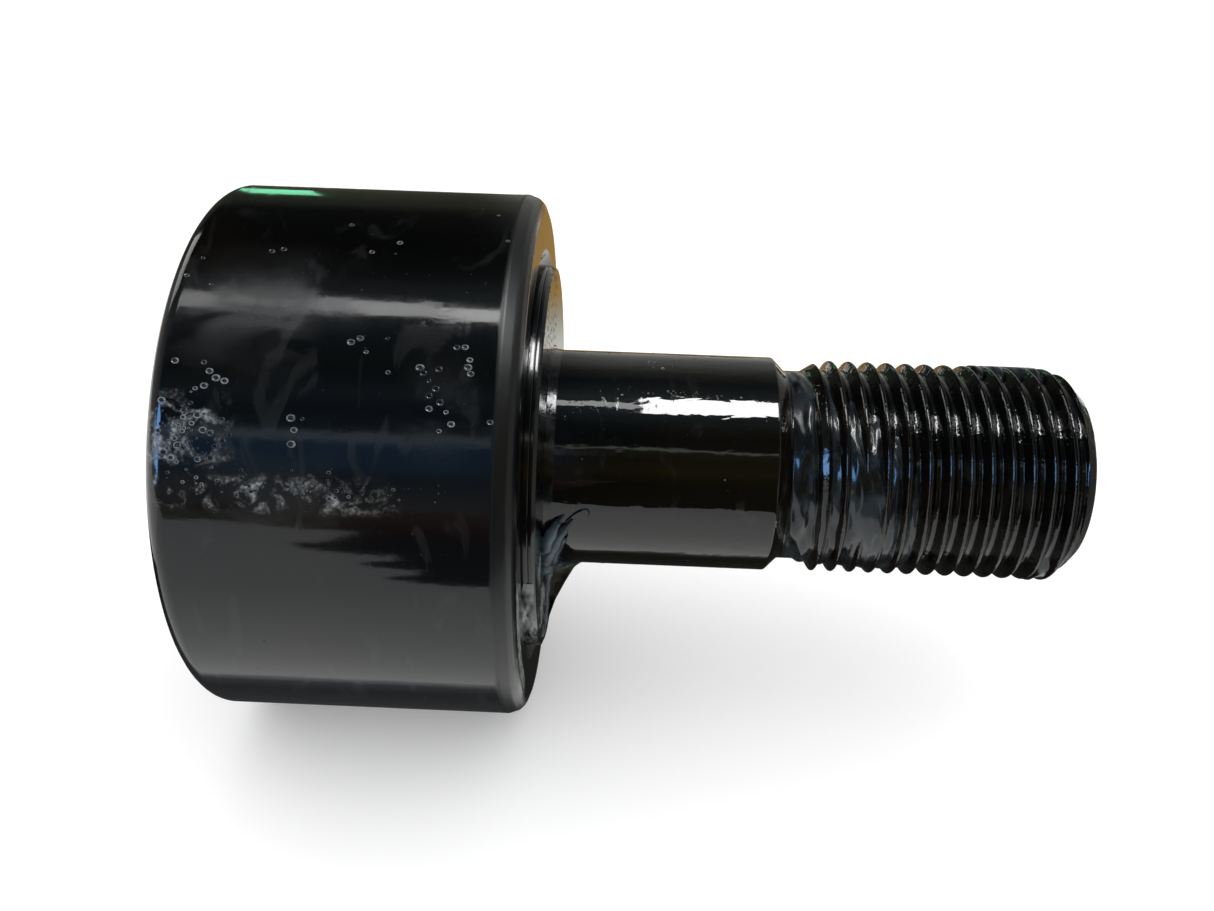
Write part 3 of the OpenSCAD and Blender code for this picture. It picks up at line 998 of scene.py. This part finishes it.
def windows():
    """Windows only the steel shows: blue ones far to the left, and a soft one high behind on each side."""
    white = (1, 1, 1)
    for name, place, size, radiance, colour in (
        ("blue_window", round_point(-1.1, 1, radians(26)) * 0.8, (0.34, 0.46), 11.0, (0.2, 0.48, 1.0)),
        ("blue_glimpse", Vector((-0.89, -0.41, 0.19)) * 0.9, (0.26, 0.2), 2.4, (0.35, 0.72, 1.0)),
        ("window_left", round_point(-1.05, 1, radians(128)) * 0.8, (0.5, 0.4), 2.2, white),
        ("window_right", round_point(1.15, 1, radians(104)) * 0.8, (0.3, 0.2), 2.5, white),
    ):
        window = area_light(name, place, size, radiance, colour=colour)
        window.visible_diffuse = False


def soft_key():
    """The broad soft light that shapes the shadow. Reflections don't show it."""
    key = area_light("soft_key", (-0.4, -0.9, 1.5), (1.6, 1.6), 0.3)
    key.visible_glossy = False
    key.visible_transmission = False


# The room's colours by height angle, from straight in front (0) over the top (90) to behind (180)
ROOM_LOW = -30
ROOM_HIGH = 210
LEFT_ROOM = (
    (-30, 600, 620, 650), (-8, 240, 240, 240), (2, 200, 200, 220), (6, 160, 170, 200), (13, 80, 120, 170),
    (17, 90, 200, 360), (26, 90, 220, 420), (28, 500, 640, 800), (30, 500, 640, 800), (32, 80, 120, 160),
    (40, 40, 70, 100), (47, 80, 120, 160), (56, 30, 45, 50), (72, 60, 90, 110), (80, 140, 180, 220),
    (92, 140, 180, 200), (100, 50, 60, 70), (106, 20, 25, 25), (118, 6, 7, 7), (146, 15, 17, 15),
    (154, 60, 70, 50), (185, 70, 70, 50),
)
RIGHT_ROOM = (
    (-30, 40, 40, 30), (-3, 30, 25, 10), (6, 60, 50, 15), (12, 120, 90, 25), (24, 70, 60, 20),
    (32, 120, 120, 80), (33.5, 950, 1000, 850), (35, 900, 1000, 840), (36.2, 40, 40, 40), (48, 20, 25, 25),
    (60, 60, 85, 85), (68, 120, 170, 190), (78, 200, 260, 280), (92, 220, 280, 300), (100, 120, 170, 180),
    (114, 40, 60, 80), (130, 160, 170, 160), (145, 400, 410, 390), (160, 420, 430, 410),
    (178, 600, 600, 560),
)
SIDE_ROOM = (
    (-30, 200, 190, 160), (20, 100, 90, 60), (60, 120, 120, 100), (80, 280, 310, 300), (110, 300, 330, 320),
    (140, 270, 290, 270), (172, 240, 250, 210), (200, 300, 220, 120),
)


def studio_world():
    """The room. The camera sees a plain pale backdrop, matt surfaces get an even soft light, and reflections
    see dark walls with a cool window low in front and warmer walls to the side."""
    world = bpy.data.worlds.new("studio")
    bpy.context.scene.world = world
    world.use_nodes = True
    world.cycles.sampling_method = "NONE"
    tree = world.node_tree
    x, y, z = axes(tree, "Generated")
    angle = math_of(tree, "ARCTAN2", z, times(tree, y, -1.0))
    angle = plus(tree, angle, (math_of(tree, "LESS_THAN", angle, -2.0), 2 * pi))
    from_axis = math_of(tree, "SQRT", plus(tree, times(tree, y, y), (z, z)))
    aside = math_of(tree, "DIVIDE", x, from_axis)
    rooms = (LEFT_ROOM, RIGHT_ROOM, SIDE_ROOM)
    left, right, side = (ramp(tree, angle, stops, ROOM_LOW, ROOM_HIGH, radians(1)) for stops in rooms)
    room = mixed(tree, ranged(tree, aside, -0.15, 0.0), left, right)
    room = mixed(tree, ranged(tree, aside, 0.45, 0.95), room, side)
    plain = mixed(tree, ranged(tree, z, 0.0, 0.8), (0.42, 0.43, 0.43), (0.14, 0.15, 0.16))
    far_left = ranged(tree, aside, -1.8, -0.9, 1.0, 0.0)
    far_aside = math_of(tree, "MAXIMUM", ranged(tree, aside, 1.5, 2.6), far_left)
    room = mixed(tree, far_aside, room, plain)
    light_path = node(tree, "ShaderNodeLightPath").outputs
    mirrored = math_of(tree, "MAXIMUM", light_path["Is Glossy Ray"], light_path["Is Transmission Ray"])
    colour = mixed(tree, mirrored, (1.2, 1.2, 1.2), room)
    colour = mixed(tree, light_path["Is Camera Ray"], colour, (1.0, 1.0, 1.0))
    tree.links.new(colour, tree.nodes["Background"].inputs[0])


def floor_card(name, outline, lift, stops):
    """A card that lies a little above the floor, from its (x, y) outline in mm."""
    room_card(name, [(x, y, FLOOR_Z / MM + lift) for x, y in outline], stops)


def floor_cards():
    """What reflections show of the floor: bright close in front, and the shadow under the follower."""
    bright = ((-240, 660, 680, 700), (-45, 740, 760, 770), (-28, 880, 900, 900), (-6, 960, 960, 950))
    sheet = [(-240, -240), (140, -240), (140, -6), (1.5, -6), (-0.5, -16.5), (-60, -16.5)]
    floor_card("floor_in_front", sheet, 0.1, bright)
    ring_shade = (
        (-16.6, 600, 610, 620), (-15.6, 140, 150, 170), (-14, 60, 65, 70), (-7, 30, 30, 30),
        (-5, 14, 15, 13), (5, 14, 15, 13),
    )
    under_ring = [(-60, -16.6), (-0.5, -16.6), (1.5, -6), (1.5, 4.5), (-60, 4.5)]
    floor_card("shade_under_ring", under_ring, 0.15, ring_shade)
    rear_shade = ((4.5, 18, 20, 17), (15, 30, 32, 28), (26, 6, 7, 6), (70, 20, 20, 20))
    behind = [(-60, 4.5), (45, 4.5), (45, 24), (10, 30), (10, 70), (-60, 70)]
    floor_card("shade_behind", behind, 0.15, rear_shade)
    stud_shade = ((-6, 400, 400, 380), (-5, 80, 80, 70), (-3.5, 25, 25, 20), (5, 20, 20, 20))
    floor_card("shade_under_stud", [(1.5, -6), (40, -6), (40, 4.5), (1.5, 4.5)], 0.15, stud_shade)


def dark_cards():
    """Painted reflections of the dark in front, where the camera stands, on cards over the floor. Their near
    edge is ragged, like the hem of something lying there."""
    near = (
        (-3900, 160, 120, 90), (-300, 130, 85, 70), (-150, 65, 40, 40), (-105, 40, 40, 50),
        (-45, 45, 55, 70),
    )
    hem = [(-41, -148), (-38, -125), (-35, -108), (-37, -94), (-33, -84), (-27, -79), (-20, -76), (-19, -71)]
    hem += [(-22, -65), (-20, -62), (-15, -61), (-14, -57), (-17, -53), (-14, -50.5), (-9, -49)]
    hem += [(-4, -49), (-4, -3900), (-3000, -3900), (-110, -420), (-60, -200)]
    floor_card("dark_in_front", hem, 0.2, near)
    black = ((-3900, 30, 25, 10), (-300, 20, 18, 10), (-60, 20, 22, 18), (-20, 40, 45, 45))
    front = [(-4, -49), (7, -46), (20, -47), (33, -40), (42, -31), (50, -20), (60, -30), (100, -150)]
    floor_card("black_in_front", [*front, (300, -600), (1500, -3900), (-4, -3900)], 0.2, black)
    far = ((-3900, 120, 120, 110), (-190, 150, 150, 130), (-150, 120, 120, 50))
    edge = [(-41, -148), (-50, -158), (-60, -166), (-74, -186), (-93, -190), (-114, -237), (-3900, -700)]
    floor_card("far_left", [*edge, (-3900, -3900), (-3000, -3900), (-110, -420), (-60, -200)], 0.2, far)
    right = ((-3900, 300, 300, 280), (-20, 320, 330, 320))
    side = [(50, -20), (3900, -20), (3900, -3900), (1500, -3900), (300, -600), (100, -150), (60, -30)]
    floor_card("right_in_front", side, 0.2, right)


def back_cards():
    """Painted reflections to the sides and behind: dark on the right, tan, brown far behind, and a mint glint.
    """
    dull = ((-20, 100, 100, 90), (420, 80, 80, 60))
    beside = [(45, -20), (3900, -20), (3900, 420), (130, 420), (130, 60), (45, 30)]
    floor_card("dull_beside", beside, 0.25, dull)
    # A tan card behind, seen only in reflections: a painted reflection in the follower's end faces
    tan_colours = (
        (30, 620, 620, 590), (70, 660, 660, 630), (82, 500, 500, 450), (92, 340, 310, 230),
        (104, 330, 200, 65), (420, 320, 180, 47),
    )
    behind = [(-30, 70), (10, 70), (10, 30), (80, 30), (80, 420), (-30, 420)]
    floor_card("painted_tan_reflection", behind, 0.2, tan_colours)
    brown = ((420, 60, 55, 38), (3900, 55, 55, 42))
    floor_card("brown_behind", [(-3900, 420), (3900, 420), (3900, 3900), (-3900, 3900)], 0.2, brown)
    # A mint card far behind, seen only in reflections: a painted glint on the ring's top edge
    mint = ((1499, 220, 780, 440), (1501, 220, 780, 440))
    lamp = [(-553, 1500, 215), (-446, 1500, 215), (-446, 1500, 460), (-553, 1500, 460)]
    room_card("mint_glint_card", lamp, mint, 3.0)


def photo_camera():
    """The camera, 25 degrees above the axis, close in, with a slight turn and roll."""
    elevation = radians(25)
    distance = 84.243 * MM
    foot_x = 5.603 * MM
    yaw, tilt, roll = (radians(a) for a in (0.9734, 0.0853, 2.2578))
    camera_data = bpy.data.cameras.new("camera")
    camera_data.sensor_width = 36
    camera_data.lens = 33.2125
    camera_data.clip_start = 0.001
    camera_data.clip_end = 20
    camera = placed("camera", camera_data)
    place = Vector((foot_x, -distance * cos(elevation), distance * sin(elevation)))
    aimed = Matrix.Rotation(pi / 2 - elevation, 4, "X") @ Matrix.Rotation(yaw, 4, "Y")
    rolled = Matrix.Rotation(tilt, 4, "X") @ Matrix.Rotation(roll, 4, "Z")
    camera.matrix_world = Matrix.Translation(place) @ aimed @ rolled
    bpy.context.scene.camera = camera


# ---- The whole scene ----


def dress(names, material):
    """Gives carried-over CAD nodes a material."""
    for name in names:
        mesh = frame["nodes"][name].data
        mesh.materials.clear()
        mesh.materials.append(material)


def build_roller():
    smeared = [(-20, -13.5, 40, 61), (-12.5, -10.5, 50, 58), (-21.8, -19.5, 42, 54), (-7, -4, 26, 38)]
    smeared.append((-21.5, -9, 12, 20))
    foamy = ((-22.6, -18.2, 21, 33), (-22.6, -8.3, 13.6, 18.6))
    face = RING_OUT_X / MM
    worn = ((face - 1.45, face - 0.1, -150, 100, 0.15, 0.3), (-19.2, -14.6, 42, 60, 1.6, 0.1))
    ring_body(oiled_black("black_oxide_ring", 0.055, 8e-6, 0.57, smeared, foamy, worn))
    dress(["seal_plate_side", "seal_head_side"], seal_rubber())
    dress(["thrust_disc_plate_side", "thrust_disc_head_side"], thrust_polymer())


def build_stud():
    stud_body(oiled_black("black_oxide_stud", 0.02, 20e-6, 0.62, lines=0.03, fine=21e-6))
    rippled = {"lines": 0.04, "fine": 34e-6, "wavy": 1150}
    stud_thread(oiled_black("black_oxide_thread", 0.035, 48e-6, 0.56, **rippled))
    face = PLATE_OUT_X / MM
    grit = ((face - 0.1, face + 1.0, 58, 112),)
    plate_body(oiled_black("black_oxide_plate", 0.09, 12e-6, 0.56, specked=grit))
    plugs = bearing_steel("plug_steel", (0.42, 0.42, 0.43), 0.25)
    dress(["plug_head", "plug_tip", "plug_shank"], plugs)


def build_inside():
    dress(["needle_cage"], bearing_steel("cage_steel", (0.34, 0.32, 0.28), 0.32))
    needles = [name for name in frame["nodes"] if name.startswith("needle_") and name != "needle_cage"]
    dress(needles, bearing_steel("needle_steel", (0.62, 0.62, 0.63), 0.12))


def build_oil_and_grease():
    chance = random.Random(11)
    clear = oil_drop("oil_drop_clear", (0.002, 0.002, 0.0025), (0.014, 0.014, 0.014))
    # The rim's pale colour is partly milky oil and partly a painted highlight
    rim = oil_drop("oil_drop_rim", (0.012, 0.013, 0.015), (0.14, 0.147, 0.155), 0.42)
    film_r = 0.005 * MM
    drops("ring_drops", "roller", (clear, rim), ROLLER_R - film_r, ring_drop_places(chance), chance)
    drops("shank_drops", "stud", (clear, rim), SHANK_R - film_r, shank_drop_places(chance), chance)
    oil_meniscus(clear)
    blue_grease = grease("blue_grease", (0.012, 0.018, 0.024), (0.05, 0.075, 0.09), 0.1)
    olive_grease = grease("olive_grease", (0.012, 0.012, 0.005), (0.07, 0.07, 0.045), 0.25)
    grey_grease = grease("grey_grease", (0.012, 0.015, 0.014), (0.16, 0.18, 0.17), 0.0)
    dark_grease = grease("thread_grease", (0.003, 0.0038, 0.0048), (0.014, 0.019, 0.022), 0.0, 0.12, 7e-6)
    thread_grease(dark_grease, chance)
    grease_strands(blue_grease)
    grease_fin(olive_grease)
    smear("rim_grease", "roller", grey_grease, on_ring_face, (16.7, 17.9), (-46, 2), 3, 0.07)
    smear("plate_grease", "stud", grey_grease, on_plate_face, (9.5, PLATE_R / MM - 0.35), (-84, -14), 5, 0.16)
    smear("plate_rim_grease", "stud", grey_grease, on_plate_rim, (-1.9, -0.1), (-66, -12), 8, 0.1)


def build_stage():
    floor_sheet()
    floor_cards()
    dark_cards()
    back_cards()
    overhead_strips()
    windows()
    soft_key()
    studio_world()
    photo_camera()
    bpy.context.scene.view_settings.view_transform = "Standard"


build_roller()
build_stud()
build_inside()
build_oil_and_grease()
build_stage()

bpy.context.view_layer.update()
